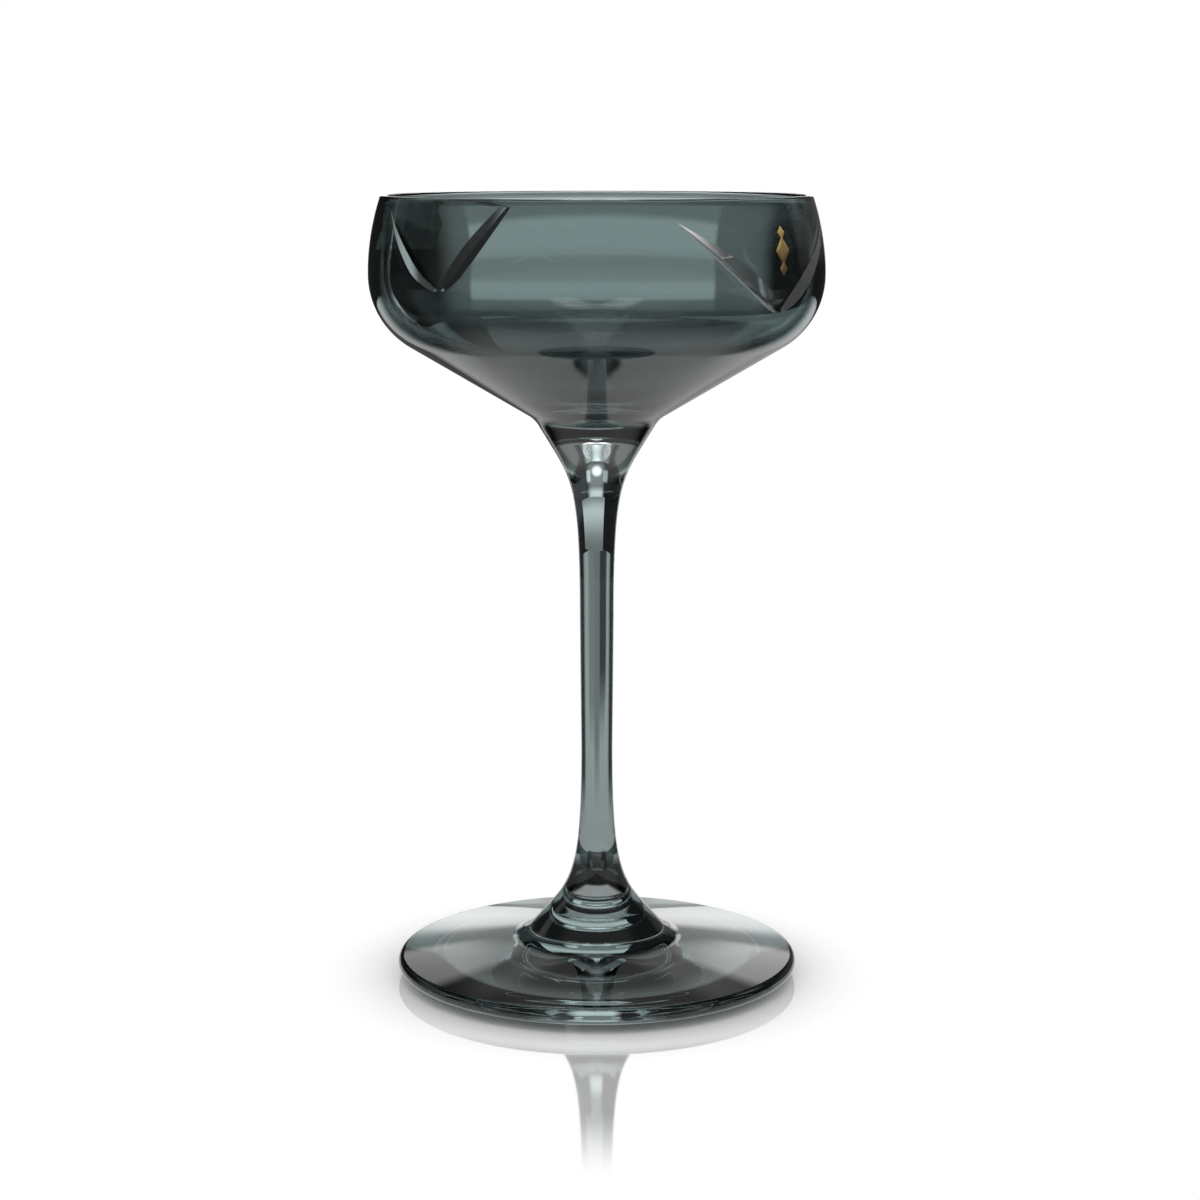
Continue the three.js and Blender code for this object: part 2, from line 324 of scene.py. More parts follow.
def wall_place(level, azimuth):
    """A place on the outside wall and the direction straight out of it, at a level above the weld."""
    centre, radius = (
        (side_centre, side_radius) if level > widest_level else (shoulder_centre, shoulder_radius)
    )
    lift = math.asin((level - centre[1]) / radius)
    reach = centre[0] + radius * math.cos(lift)
    around = (math.sin(azimuth), -math.cos(azimuth))
    point = Vector((around[0] * reach, around[1] * reach, level + bowl_low.z))
    outward = Vector((around[0] * math.cos(lift), around[1] * math.cos(lift), math.sin(lift)))
    return point, outward


def blade_fullness(along):
    """How deep a blade is: a long run-in from the tip and a short round heel."""
    if along < blade_deepest:
        return math.sin(math.pi / 2 * along / blade_deepest)
    return math.sqrt(max(0.0, 1 - ((along - blade_deepest) / (1 - blade_deepest)) ** 2))


def blade_place(middle, hand, along):
    """The wall under a blade, at a share of its length counted from the tip."""
    tip = rim_level - blade_tip_drop
    heel = widest_level - blade_heel_drop
    away = blade_span + (blade_parting - blade_span) * along
    return wall_place(tip + (heel - tip) * along, middle + hand * away / bowl_radius)


# %% Build the wheel's wedge
def blade_wedge(name, middle, hand):
    """The glass that the wheel takes out for one blade, a three-cornered section along the wall."""
    mesh_maker = bmesh.new()
    ground = mesh_maker.faces.layers.float.new("ground")
    sections = []
    for i in range(BLADE_STEPS + 1):
        along = i / BLADE_STEPS
        point, outward = blade_place(middle, hand, along)
        ahead = blade_place(middle, hand, along + BLADE_NUDGE)[0]
        back = blade_place(middle, hand, along - BLADE_NUDGE)[0]
        across = outward.cross((ahead - back).normalized())
        depth = blade_depth * blade_fullness(along) - blade_skim
        half_width = (depth + wheel_lift) * math.tan(math.radians(blade_angle / 2))
        crown = point + outward * wheel_lift
        ridge = across * half_width
        corners = (point - outward * depth, crown + ridge, crown - ridge)
        sections.append([mesh_maker.verts.new(corner) for corner in corners])
    for first, second in zip(sections, sections[1:]):
        for k in range(3):
            mesh_maker.faces.new((first[k], first[k - 2], second[k - 2], second[k]))
    mesh_maker.faces.new(reversed(sections[0]))
    mesh_maker.faces.new(sections[-1])
    for face in mesh_maker.faces:
        face[ground] = 1.0
        face.smooth = True
    bmesh.ops.recalc_face_normals(mesh_maker, faces=mesh_maker.faces)
    mesh = bpy.data.meshes.new(name)
    mesh_maker.to_mesh(mesh)
    mesh_maker.free()
    wedge = bpy.data.objects.new(name, mesh)
    bpy.context.collection.objects.link(wedge)
    return wedge


wedges = [
    blade_wedge(f"wedge_{side}_{hand}", middle, hand)
    for side, middle in (("front", 0.0), ("rear", math.pi))
    for hand in (-1, 1)
]
print(len(wedges), "wedges,", round(blade_depth / MM, 2), "mm deep")

# %% Grind the blades
for wedge in wedges:
    cut = bowl.modifiers.new(wedge.name, "BOOLEAN")
    cut.operation = "DIFFERENCE"
    cut.solver = "EXACT"
    cut.object = wedge
blank = bowl.data
view_layer_now = bpy.context.evaluated_depsgraph_get()
bowl.data = bpy.data.meshes.new_from_object(bowl.evaluated_get(view_layer_now))
bowl.modifiers.clear()
bpy.data.meshes.remove(blank)
for wedge in wedges:
    bpy.data.meshes.remove(wedge.data)
bowl.data.name = bowl.name
print("ground bowl has", len(bowl.data.polygons), "faces")

# %% Keep the wall smooth beside the cuts
ON_WALL = 0.02 * MM
FACING_OUT = 0.9

bowl_mesh = bowl.data
bowl_mesh.set_sharp_from_angle(angle=SHARP_EDGE)
ground_faces = [value.value > 0.5 for value in bowl_mesh.attributes["ground"].data]
normals = [corner.vector.copy() for corner in bowl_mesh.corner_normals]
lowest_arc = shoulder_centre[1] - shoulder_radius * math.cos(cone_slope)
for face in bowl_mesh.polygons:
    if ground_faces[face.index]:
        continue
    for loop in face.loop_indices:
        place = bowl_mesh.vertices[bowl_mesh.loops[loop].vertex_index].co
        level = place.z - bowl_low.z
        if lowest_arc < level < rim_level:
            on_wall, outward = wall_place(level, math.atan2(place.x, -place.y))
            if (on_wall - place).length < ON_WALL and face.normal.dot(outward) > FACING_OUT:
                normals[loop] = outward
bowl_mesh.normals_split_custom_set(normals)
print(sum(ground_faces), "ground faces")

# %% [markdown]
# ## Gilding
# The ornament is a gold paste, printed and fired, so it is a crowned skin that follows the wall:
# a big lozenge between two small ones. It is built row by row over the wall, a little proud of it,
# with a rounded section, because a flat cut-out would show a hard square edge in close views.

# %% Print the ornaments
ornament_rise = 6 * MM
lozenges = ((2.4 * MM, 2.4 * MM), (4.6 * MM, 4.8 * MM), (2.4 * MM, 2.4 * MM))
lozenge_link = 0.7 * MM
lozenge_tip = 0.1 * MM
gilt_gap = 0.06 * MM
gilt_thickness = 0.1 * MM
gilt_edge_share = 0.3
GILT_SHARP_EDGE = math.radians(40)
ROWS_PER_SIDE = 8
COLUMNS = 10

ornament_rows = []
row_level = -sum(height for width, height in lozenges) / 2
for number, (width, height) in enumerate(lozenges):
    first_link = lozenge_link if number else lozenge_tip
    last_link = lozenge_link if number < len(lozenges) - 1 else lozenge_tip
    halves = ((row_level, first_link, width), (row_level + height / 2, width, last_link))
    for base_level, base_width, end_width in halves:
        for k in range(ROWS_PER_SIDE):
            share = k / ROWS_PER_SIDE
            row_width = base_width + (end_width - base_width) * share
            ornament_rows.append((base_level + height / 2 * share, row_width))
    row_level += height
ornament_rows.append((row_level, lozenge_tip))


def printed_ornament(name, middle):
    """A crowned gilt skin over the wall, closed underneath."""
    mesh_maker = bmesh.new()
    tops = []
    unders = []
    for level, width in ornament_rows:
        top_row = []
        under_row = []
        for k in range(COLUMNS + 1):
            across = 2 * k / COLUMNS - 1
            place, outward = wall_place(
                widest_level + ornament_rise + level, middle + across * width / 2 / bowl_radius
            )
            fullness = gilt_edge_share + (1 - gilt_edge_share) * math.sqrt(1 - across**2)
            crown = gilt_gap + gilt_thickness * fullness
            top_row.append(mesh_maker.verts.new(place + outward * crown))
            under_row.append(mesh_maker.verts.new(place + outward * gilt_gap))
        tops.append(top_row)
        unders.append(under_row)
    for low, high, low_under, high_under in zip(tops, tops[1:], unders, unders[1:]):
        for k in range(COLUMNS):
            mesh_maker.faces.new((low[k], low[k + 1], high[k + 1], high[k]))
            mesh_maker.faces.new((low_under[k], high_under[k], high_under[k + 1], low_under[k + 1]))
        mesh_maker.faces.new((low[0], high[0], high_under[0], low_under[0]))
        mesh_maker.faces.new((low[-1], low_under[-1], high_under[-1], high[-1]))
    for row, under_row in ((tops[0], unders[0]), (tops[-1], unders[-1])):
        for k in range(COLUMNS):
            mesh_maker.faces.new((row[k], under_row[k], under_row[k + 1], row[k + 1]))
    bmesh.ops.recalc_face_normals(mesh_maker, faces=mesh_maker.faces)
    for face in mesh_maker.faces:
        face.smooth = True
    mesh = bpy.data.meshes.new(name)
    mesh_maker.to_mesh(mesh)
    mesh_maker.free()
    mesh.set_sharp_from_angle(angle=GILT_SHARP_EDGE)
    piece = bpy.data.objects.new(name, mesh)
    bpy.context.collection.objects.link(piece)
    return piece


front_ornament = printed_ornament("gilt_front", 0.0)
rear_ornament = printed_ornament("gilt_rear", math.pi)
print("ornament rows:", len(ornament_rows))

# %% [markdown]
# ## Shader sums
# A node tree is a sum written with boxes and wires. Long sums are hard to read that way, so one small
# class stands for a socket: adding or multiplying two of them adds the Math node and its links.
# Every other node goes through one method, which sets the node up first and then fills its sockets.

# %% A socket that does sums
class Wire:
    """A shader socket that can stand in a Python sum."""

    def __init__(self, tree, socket=None):
        self.tree = tree
        self.socket = socket

    def node(self, kind, settings=None, sockets=None, output=None):
        """Adds a node: its settings first, then the values or links of its sockets."""
        made = self.tree.nodes.new(kind)
        for name, value in (settings or {}).items():
            setattr(made, name, value)
        inputs = [socket for socket in made.inputs if socket.enabled]
        named = {socket.name: socket for socket in reversed(inputs)}
        for key, value in (sockets or {}).items():
            socket = inputs[key] if isinstance(key, int) else named[key]
            if isinstance(value, Wire):
                self.tree.links.new(value.socket, socket)
            else:
                socket.default_value = value
        shown = [socket for socket in made.outputs if socket.enabled]
        outputs = [socket for socket in shown if output in (None, socket.name)]
        return Wire(self.tree, outputs[0]) if outputs else None

    def math(self, operation, *values):
        return self.node("ShaderNodeMath", {"operation": operation}, dict(enumerate(values)))

    def __add__(self, other):
        return self.math("ADD", self, other)

    def __sub__(self, other):
        return self.math("SUBTRACT", self, other)

    def __rsub__(self, other):
        return self.math("SUBTRACT", other, self)

    def __mul__(self, other):
        return self.math("MULTIPLY", self, other)

    def __abs__(self):
        return self.math("ABSOLUTE", self)

    __radd__ = __add__
    __rmul__ = __mul__

    def rise(self, start, stop):
        """0 below start, 1 above stop, with a soft step between."""
        sockets = {"Value": self, "From Min": start, "From Max": stop}
        return self.node("ShaderNodeMapRange", {"interpolation_type": "SMOOTHSTEP"}, sockets)

    def between(self, low, high, soft):
        """1 between two values, with soft ends."""
        return self.rise(low - soft, low + soft) * (1 - self.rise(high - soft, high + soft))

    def blend(self, first, second):
        """One colour at 0 and another at 1."""
        sockets = {"Factor": self, "A": first, "B": second}
        return self.node("ShaderNodeMix", {"data_type": "RGBA"}, sockets)

    def dot(self, axis):
        """How far a vector reaches along an axis."""
        return self.node("ShaderNodeVectorMath", {"operation": "DOT_PRODUCT"}, {0: self, 1: axis})

    def length(self):
        return self.node("ShaderNodeVectorMath", {"operation": "LENGTH"}, {0: self})


def new_material(name):
    """An empty node material and the wire that its nodes grow from."""
    material = bpy.data.materials.new(name)
    material.use_nodes = True
    material.node_tree.nodes.clear()
    return material, Wire(material.node_tree)


UP = (0.0, 0.0, 1.0)
print("shader sums are ready")

# %% [markdown]
# ## Smoked glass
# The glass itself is clear. The grey-green tint is a stain on its outside, which is why the stem
# is no darker than the thin wall and why the ground blades are bright and colourless.
# An absorbing volume would darken thick places instead, so the tint sits on the surface here.
# Near the weld, the cone of the bowl is tinted much darker: painted shade, not more stain. A weld is
# fused through, so its faces are left out with Alpha. Slow waves in the surface and a faint change of
# polish keep it from looking machined.

# %% Glass material
STAIN = (0.175, 0.25, 0.246, 1.0)
# The near-black tint below is painted shade for the cone of the bowl by the weld, not stain.
CONE_SHADE_TINT = (0.012, 0.018, 0.018, 1.0)
CLEAR = (1.0, 1.0, 1.0, 1.0)
cone_shade_foot = (bowl_low.z, bowl_low.z + 1 * MM)
cone_shade_top = (bowl_low.z + 15 * MM, bowl_low.z + 26 * MM)
cloud_scale = 45.0
wave_scale = 60.0
wave_height = 0.5 * MM
wave_strength = 0.02
grind_scale = 900.0
stain_low = 0.96
stain_swing = 0.08
polish_low = 0.002
polish_swing = 0.001
grind_low = 0.02
grind_swing = 0.03
glass_bend = 1.5

glass, wire = new_material("smoked_glass")
place = wire.node("ShaderNodeTexCoord", output="Object")
stain, weld, ground = [
    wire.node("ShaderNodeAttribute", {"attribute_name": layer}, output="Fac") for layer in FINISH_LAYERS
]
cloud = wire.node("ShaderNodeTexNoise", None, {"Vector": place, "Scale": cloud_scale, "Detail": 2.0})
wave = wire.node("ShaderNodeTexNoise", None, {"Vector": place, "Scale": wave_scale, "Detail": 1.0})
grind = wire.node("ShaderNodeTexNoise", None, {"Vector": place, "Scale": grind_scale, "Detail": 3.0})
height = place.dot(UP)
# Painted shade: darkest from the weld to 15 mm up the cone, and gone by 26 mm.
cone_shade = height.rise(*cone_shade_foot) * (1 - height.rise(*cone_shade_top))
tint = cone_shade.blend(STAIN, CONE_SHADE_TINT)
waviness = wire.node(
    "ShaderNodeBump", None, {"Height": wave, "Strength": wave_strength, "Distance": wave_height}
)
glass_shader = wire.node(
    "ShaderNodeBsdfPrincipled",
    None,
    {
        "Base Color": (stain * (stain_low + stain_swing * cloud)).blend(CLEAR, tint),
        "Roughness": polish_low + polish_swing * cloud + ground * (grind_low + grind_swing * grind),
        "Transmission Weight": 1.0,
        "IOR": glass_bend,
        "Alpha": 1 - weld,
        "Normal": waviness,
    },
)
wire.node("ShaderNodeOutputMaterial", None, {"Surface": glass_shader})
print("glass nodes:", len(glass.node_tree.nodes))

# %% [markdown]
# ## Gilt finish
# Fired gold paste is a satin metal with a fine grain. It dulls and browns where hands and cloths rub it.
# One flat colour would look like a sticker. So both come from noise: a coarse one for the rubbed
# patches, and a fine one for the grain.

# %% Gilding material
FRESH_GOLD = (0.5, 0.35, 0.13, 1.0)
RUBBED_GOLD = (0.34, 0.24, 0.1, 1.0)
rub_scale = 900.0
rub_ends = (0.45, 0.7)
rub_roughness = 0.2
gold_roughness = 0.3
grain_scale = 6000.0
grain_height = 0.03 * MM
grain_strength = 0.3

gilt, wire = new_material("gilding")
place = wire.node("ShaderNodeTexCoord", output="Object")
rub = wire.node("ShaderNodeTexNoise", None, {"Vector": place, "Scale": rub_scale, "Detail": 4.0})
grain = wire.node("ShaderNodeTexNoise", None, {"Vector": place, "Scale": grain_scale, "Detail": 2.0})
worn = rub.rise(*rub_ends)
relief = wire.node(
    "ShaderNodeBump", None, {"Height": grain, "Strength": grain_strength, "Distance": grain_height}
)
gilt_shader = wire.node(
    "ShaderNodeBsdfPrincipled",
    None,
    {
        "Base Color": worn.blend(FRESH_GOLD, RUBBED_GOLD),
        "Metallic": 1.0,
        "Roughness": gold_roughness + rub_roughness * worn,
        "Normal": relief,
    },
)
wire.node("ShaderNodeOutputMaterial", None, {"Surface": gilt_shader})
print("gilding nodes:", len(gilt.node_tree.nodes))

# %% [markdown]
# ## Dressing
# The glass has one body, since nothing on it moves, and every piece rides on that body. Each piece
# takes the place of one CAD solid, which is then hidden. This could be done as each piece is made,
# but one loop keeps the five in one list, so that none is left without its finish.

# %% Dress the pieces
for piece, node, material, slot in (
    (foot, "foot", glass, "smoked_glass"),
    (stem, "stem", glass, "smoked_glass"),
    (bowl, "bowl", glass, "smoked_glass"),
    (front_ornament, "ornament_front", gilt, "gilding"),
    (rear_ornament, "ornament_rear", gilt, "gilding"),
):
    piece.data.materials.clear()
    piece.data.materials.append(material)
    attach(piece, "root")
    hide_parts(node)

# %% [markdown]
# ## Camera
# The photograph looks a little down on the glass with a long lens, and the front V is turned to the
# right. The camera could be aimed by eye; its place and pitch were fitted to the outline of the glass.
# Places in the studio are given as the lens sees them: to the right, away, and up.

# %% Camera
camera_azimuth = -51.0
camera_distance = 561.06 * MM
camera_height = 178.2 * MM
camera_aside = 0.67 * MM
camera_pitch = 9.763
camera_sensor = 36.0
camera_lens = 80.35
lens_turn = math.radians(camera_azimuth)
AWAY = Vector((-math.sin(lens_turn), math.cos(lens_turn), 0))
RIGHT = Vector((AWAY.y, -AWAY.x, 0))


def studio_place(right, away, up):
    """A place in the studio, from the foot of the glass."""
    return RIGHT * right + AWAY * away + Vector((0, 0, up))


camera_data = bpy.data.cameras.new("camera")
camera_data.sensor_width = camera_sensor
camera_data.lens = camera_lens
camera = bpy.data.objects.new("camera", camera_data)
camera.location = studio_place(camera_aside, -camera_distance, camera_height)
camera.rotation_euler = (math.radians(90 - camera_pitch), 0, lens_turn)
bpy.context.collection.objects.link(camera)
bpy.context.scene.camera = camera
print("camera at", [round(value, 3) for value in camera.location])

# %% [markdown]
# ## The white wall behind
# Glass has little colour of its own to light: it shows whatever stands behind and around it.
# A glass photographer lights a wall behind it and leaves the studio dark to the left and right.
# Light then bends through the middle of each curve, and the edges come out as dark lines.
# The wall could be a mesh with lamps in front of it. The world plays it here, because a world is far
# away, costs no geometry, and takes one line for each patch of light. Angles are in degrees:
# bearings to the right of straight behind the glass, and lifts above level. A light of 1 is white.

# %% Measure the studio in angles
deg = math.radians


def bearing(vector):
    """How far a direction turns to the right of straight behind the glass."""
    return vector.math("ARCTAN2", vector.dot(RIGHT), vector.dot(AWAY))


def past(angle, ends):
    """0 before the first of two angles in degrees, 1 after the second."""
    return angle.rise(deg(ends[0]), deg(ends[1]))


def within(angle, ends, soft):
    """1 between two angles in degrees, with soft ends."""
    return angle.between(deg(ends[0]), deg(ends[1]), deg(soft))


world = bpy.data.worlds.new("studio")
bpy.context.scene.world = world
world.use_nodes = True
world.node_tree.nodes.clear()
sky = Wire(world.node_tree)
direction = sky.node("ShaderNodeTexCoord", output="Generated")
turn = bearing(direction)
lift = sky.math("ARCSINE", direction.dot(UP))
print("nodes that measure the studio:", len(world.node_tree.nodes))

# %% Light the wall
wall_base = (-2.6, -1.0)
wall_left_end = (-12.0, -6.0)
wall_right_end = (7.0, 16.0)
wall_low_light = 1.2
wall_gain = 0.6
wall_gain_lifts = (-2.6, 4.0)
wall_fade = 0.68
wall_fade_lifts = (7.0, 12.0)
wall_top_fade = 0.6
wall_top_lifts = (32.0, 35.0)

upper = past(lift, wall_base)
wall = wall_low_light + wall_gain * past(lift, wall_gain_lifts)
wall = wall * (1 - wall_fade * past(lift, wall_fade_lifts))
wall = wall * (1 - wall_top_fade * past(lift, wall_top_lifts))
wall = upper * wall * past(turn, wall_left_end) * (1 - past(turn, wall_right_end))
print("wall from", wall_left_end[0], "to", wall_right_end[1], "degrees")

# %% [markdown]
# ## Patches of light beside the wall
# Small lit patches beside the wall and above it give the blades and the foot something to show.
# Each has its light, its lifts and its bearings, with a soft edge after each pair.
# Below the wall, past the far end of the table, a lit panel fills the middle of the bowl.
# The rest of the room is nearly dark, and a little lighter on the side of the lens.

# %% Light the patches
LIT_PATCHES = {
    "left wing": (1.0, (15.5, 28.0), 1.5, (-15.0, -8.5), 1.0),
    "right wing": (1.4, (15.5, 28.0), 1.5, (8.5, 14.0), 1.0),
    "right side": (0.11, (0.0, 20.0), 2.0, (15.0, 60.0), 3.0),
    "left window": (0.4, (24.0, 33.0), 2.0, (-95.0, -45.0), 5.0),
    "overhead strip": (1.2, (56.0, 69.0), 2.0, (-9.0, 9.0), 2.0),
}
room_light = 0.02
lens_side_light = 0.25
lens_side_turns = (80.0, 110.0)

around_wall = room_light + lens_side_light * past(abs(turn), lens_side_turns)
for light, lifts, lift_soft, turns, turn_soft in LIT_PATCHES.values():
    around_wall = around_wall + light * within(lift, lifts, lift_soft) * within(turn, turns, turn_soft)
print("patches:", ", ".join(LIT_PATCHES))

# %% Light the panel below the wall
panel_light = 0.66
panel_turns = (-4.25, 3.8)
panel_soft = 0.1
panel_low_share = 0.25
panel_full_lifts = (-6.0, -5.4)
panel_top_drop = 0.5
panel_top_lifts = (-4.1, -3.5)
panel_base_lifts = (-8.2, -7.2)
panel_base_turns = (-2.9, 2.6)
panel_base_soft = 0.7
panel_base_fade = 0.8
surround_light = 0.34
surround_turns = (-5.4, 6.8)
surround_soft = 0.9
surround_base_fade = 0.4

below = 1 - past(lift, panel_base_lifts)
panel = panel_low_share + (1 - panel_low_share) * past(lift, panel_full_lifts)
panel = panel - panel_top_drop * past(lift, panel_top_lifts)
panel_corners = below * (1 - within(turn, panel_base_turns, panel_base_soft))
panel = panel * within(turn, panel_turns, panel_soft) * (1 - panel_base_fade * panel_corners)
surround = within(turn, surround_turns, surround_soft) * (1 - surround_base_fade * below)
low_light = (1 - upper) * (panel_light * panel + surround_light * surround)
print("panel from", panel_turns[0], "to", panel_turns[1], "degrees")

# %% [markdown]
# ## Who sees what
# The picture has a plain white ground: the camera, scattered light and the soft mirror of the floor all
# see the studio as white. Polished glass sees the wall, the patches and the dark room instead.
# Two renders could be laid over each other, but the Light Path node does it in one: it tells what kind
# of ray is asking. A ray from a polished surface counts as singular, and one from the floor does not.

# %% Show the studio
white_lifts = (8.0, 10.0)

glow = wall + around_wall + low_light
seen = sky.node("ShaderNodeLightPath", output="Is Camera Ray")
scattered = sky.node("ShaderNodeLightPath", output="Is Diffuse Ray")
mirrored = sky.node("ShaderNodeLightPath", output="Is Glossy Ray")
polished = sky.node("ShaderNodeLightPath", output="Is Singular Ray")
through = sky.node("ShaderNodeLightPath", output="Transmission Depth")
on_floor = mirrored * (1 - polished) * (1 - through.rise(0, 1)) * past(lift, white_lifts)
studio_light = seen + scattered + (1 - seen - scattered) * (glow + on_floor * (1 - glow))
background = sky.node("ShaderNodeBackground", None, {"Color": studio_light})
sky.node("ShaderNodeOutputWorld", None, {"Surface": background})
print("world nodes:", len(world.node_tree.nodes))

# %% [markdown]
# ## Floor
# The glass stands on a white glossy sheet, which mirrors it softly close by. One white shader would do
# for the camera, but the foot and the stem would then have no darks to show. So the sheet has two looks,
# mixed by Light Path. For the camera it is plain white, with the shadow of the foot. Seen through the
# glass it is an emission with painted light in some places and painted shadows in others.

# %% Lay the sheet
floor_radius = 870 * MM
floor_sides = 96
floor_drop = 0.02 * MM

floor_maker = bmesh.new()
bmesh.ops.create_circle(floor_maker, cap_ends=True, radius=floor_radius, segments=floor_sides)
floor_mesh = bpy.data.meshes.new("floor")
floor_maker.to_mesh(floor_mesh)
floor_maker.free()
floor = bpy.data.objects.new("floor", floor_mesh)
floor.location = (0, 0, -floor_drop)
bpy.context.collection.objects.link(floor)
print("floor is", round(2 * floor_radius, 2), "m across")

# %% Choose where light is painted on the sheet
near_reach = (70 * MM, 180 * MM)
behind_end = (29.0, 42.0)
left_gap_turns = (-24.0, -6.5)
left_gap_soft = 2.0
left_gap_start = (250 * MM, 360 * MM)
left_gap_fade = 0.85
bowl_surfaces = (2, 3)
bowl_sides = (34.0, 46.0)
stem_sides = (66.0, 80.0)

sheet, wire = new_material("floor_sheet")
place = wire.node("ShaderNodeTexCoord", output="Object")
distance = place.length()
around = bearing(place)
aside = abs(around)
near = 1 - distance.rise(*near_reach)
left_gap = distance.rise(*left_gap_start) * within(around, left_gap_turns, left_gap_soft)
behind = (1 - past(aside, behind_end)) * (1 - left_gap_fade * left_gap)
passed = wire.node("ShaderNodeLightPath", output="Is Transmission Ray")
surfaces = wire.node("ShaderNodeLightPath", output="Transmission Depth")
past_bowl = surfaces.rise(*bowl_surfaces)
elsewhere = past_bowl * past(aside, bowl_sides) + (1 - past_bowl) * past(aside, stem_sides)
lit_area = 1 - (1 - near) * (1 - behind) * (1 - passed * elsewhere)
print("sheet is lit to", behind_end[0], "degrees on each side of straight behind")

# %% Grade the painted light
sheet_near_light = 0.75
far_fade = 0.35
far_start = (100 * MM, 250 * MM)
beside_gain = 0.45
beside_turns = (3.0, 9.0)
strip_fade = 0.38
strip_start = (200 * MM, 300 * MM)
strip_end_turns = (16.0, 24.0)

beside = past(aside, beside_turns)
sheet_light = sheet_near_light - (far_fade - beside_gain * beside) * distance.rise(*far_start)
strip = beside * (1 - past(aside, strip_end_turns)) * distance.rise(*strip_start)
sheet_light = sheet_light - strip_fade * strip
print("sheet light close by:", sheet_near_light)

# %% Paint shadows under the glass
# The lowest level of the sheet seen through the glass is painted shade, not a dark material.
painted_dark_level = 0.03
foot_shade_edge = (foot_radius - 10 * MM, foot_radius - 6 * MM)
foot_shade = 0.65
stem_shade_edge = (20 * MM, 34 * MM)
stem_shade = 0.85
rear_shade_edge = (51 * MM, 55 * MM)
rear_shade_turns = (15.0, 19.0)
rear_shade = 0.97
collar_light = 0.45
collar_ring = (13 * MM, 21 * MM)
collar_soft = 1 * MM
collar_turns = (7.0, 11.0)

# Painted shadows under the foot, under the stem and behind it, and a painted ring of light round the
# stem.
under_foot = 1 - distance.rise(*foot_shade_edge)
under_stem = 1 - distance.rise(*stem_shade_edge)
under_rear = (1 - distance.rise(*rear_shade_edge)) * (1 - past(aside, rear_shade_turns))
collar = distance.between(*collar_ring, collar_soft) * (1 - past(aside, collar_turns))
lit = (painted_dark_level + lit_area * sheet_light) * (1 - foot_shade * under_foot)
lit = lit * (1 - stem_shade * under_stem) * (1 - rear_shade * under_rear) + collar_light * collar
print("shaded to", round(rear_shade_edge[1] / MM), "mm behind the stem")

# %% Finish the sheet
PAPER = (0.9, 0.9, 0.9, 1.0)
mirror_roughness = 0.05
shadow_edge = (45 * MM, 60 * MM)
gloss_low = 0.2
gloss_gain = 0.42
gloss_start = (50 * MM, 58 * MM)
gloss_end = (85 * MM, 120 * MM)

# Through the glass the sheet is an emission: its light and its shadows are painted, not cast.
through_glass = wire.node("ShaderNodeEmission", None, {"Color": lit})
white = wire.node("ShaderNodeEmission", None, {"Color": CLEAR})
matte = wire.node("ShaderNodeBsdfDiffuse", None, {"Color": PAPER})
mirror = wire.node("ShaderNodeBsdfGlossy", None, {"Color": CLEAR, "Roughness": mirror_roughness})
shadowed = 1 - distance.rise(*shadow_edge)
gloss = (gloss_low + gloss_gain * distance.rise(*gloss_start)) * (1 - distance.rise(*gloss_end))
plain = wire.node("ShaderNodeMixShader", None, {0: shadowed, 1: white, 2: matte})
glossy = wire.node("ShaderNodeMixShader", None, {0: gloss, 1: plain, 2: mirror})
seen = wire.node("ShaderNodeLightPath", output="Is Camera Ray")
surface = wire.node("ShaderNodeMixShader", None, {0: seen, 1: through_glass, 2: glossy})
wire.node("ShaderNodeOutputMaterial", None, {"Surface": surface})
floor_mesh.materials.append(sheet)
print("floor nodes:", len(sheet.node_tree.nodes))

# %% [markdown]
# ## Card behind the stem
# The flares at the two ends of the stem bend light upwards, over the far end of the table. A glowing
# card stands there, so that they show something bright. A lamp would also light the bowl's wall, so this
# is a plain mesh that gives off light. It is hidden from the camera and from mirrors: only refracted
# light finds it.

# %% Cut the card
card_left = -34 * MM
card_right = 80 * MM
card_bottom = 76 * MM
card_top = 118 * MM
card_away = 150 * MM

card_corners = (
    (card_left, card_bottom),
    (card_right, card_bottom),
    (card_right, card_top),
    (card_left, card_top),
)
card_maker = bmesh.new()
card_maker.faces.new([card_maker.verts.new(studio_place(u, card_away, z)) for u, z in card_corners])
card_mesh = bpy.data.meshes.new("stem_card")
card_maker.to_mesh(card_mesh)
card_maker.free()
card = bpy.data.objects.new("stem_card", card_mesh)
bpy.context.collection.objects.link(card)
print("card reaches", round(card_top, 3), "m up")

# %% Light the card
card_low_glow = 0.45
card_full_glow = 1.5
card_top_fade = 0.75
card_full_share = 0.6

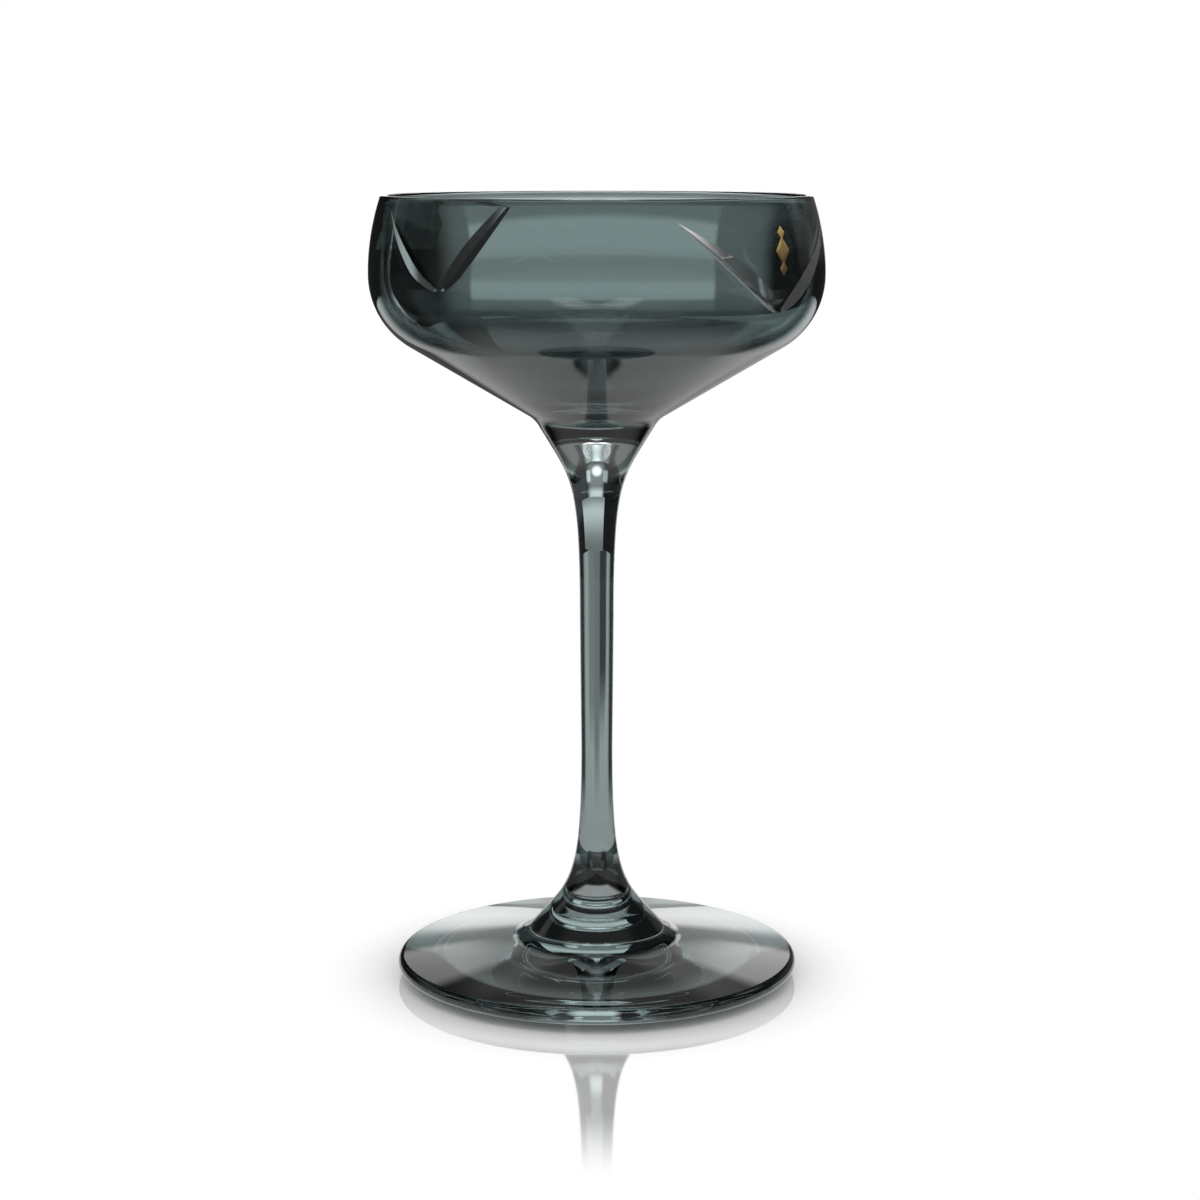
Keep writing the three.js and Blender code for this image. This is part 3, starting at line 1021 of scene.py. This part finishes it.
card_material, wire = new_material("stem_card")
height = wire.node("ShaderNodeTexCoord", output="Object").dot(UP)
card_full = card_bottom + card_full_share * (card_top - card_bottom)
card_rise = height.rise(card_bottom, card_full) * (1 - card_top_fade * height.rise(card_full, card_top))
card_glow = card_low_glow + (card_full_glow - card_low_glow) * card_rise
emission = wire.node("ShaderNodeEmission", None, {"Color": card_glow})
wire.node("ShaderNodeOutputMaterial", None, {"Surface": emission})
card_mesh.materials.append(card_material)
card.visible_camera = False
card.visible_diffuse = False
card.visible_glossy = False
card.visible_shadow = False
print("card nodes:", len(card_material.node_tree.nodes))

# %% [markdown]
# ## Lamps
# A lamp hangs high behind the glass, and the flare under the bowl gathers it into a bright patch.
# Its beam is narrow, because a wide one would also show as a reflection in the foot.
# Two softboxes hang over the lens's side of the table and give soft glints from above.
# Lamps are set by the brightness of their surface, which stays the same when a size is changed.

# %% Hang the lamps
FULL_BEAM = 180


def hang_lamp(name, size, brightness, where, aim, beam=FULL_BEAM):
    """A rectangular lamp of a given surface brightness, where 1 is white, with a beam in degrees."""
    data = bpy.data.lights.new(name, "AREA")
    data.shape = "RECTANGLE"
    data.size, data.size_y = size
    data.energy = brightness * math.pi * size[0] * size[1]
    if beam < FULL_BEAM:
        half = deg(beam / 2)
        data.spread = 2 * half
        data.energy *= 1 - half / math.tan(half)
    lamp = bpy.data.objects.new(name, data)
    lamp.location = where
    lamp.rotation_mode = "QUATERNION"
    lamp.rotation_quaternion = (aim - where).to_track_quat("-Z", "Y")
    bpy.context.collection.objects.link(lamp)
    print(name, "gives", round(data.energy, 3), "W")


neck_lamp_size = (170 * MM, 220 * MM)
neck_lamp_brightness = 5.5
neck_lamp_beam = 14
neck_lamp_place = studio_place(0, 500 * MM, 365 * MM)
neck_place = studio_place(0, 0, bowl_low.z)
softbox_size = (140 * MM, 280 * MM)
softbox_brightness = 2.5
softbox_aside = 120 * MM
softbox_before = 180 * MM
softbox_height = 850 * MM
softbox_aim = studio_place(0, 0, 50 * MM)

hang_lamp(
    "neck_light", neck_lamp_size, neck_lamp_brightness, neck_lamp_place, neck_place, neck_lamp_beam
)
for hand, name in ((-1, "left_softbox"), (1, "right_softbox")):
    softbox_place = studio_place(hand * softbox_aside, -softbox_before, softbox_height)
    hang_lamp(name, softbox_size, softbox_brightness, softbox_place, softbox_aim)

# %% [markdown]
# ## View transform
# The view transform is set to Standard, so that a colour comes out as it was written.
# The dressed glass may not be bigger than the CAD model.

# %% Set the view transform
bpy.context.scene.view_settings.view_transform = "Standard"
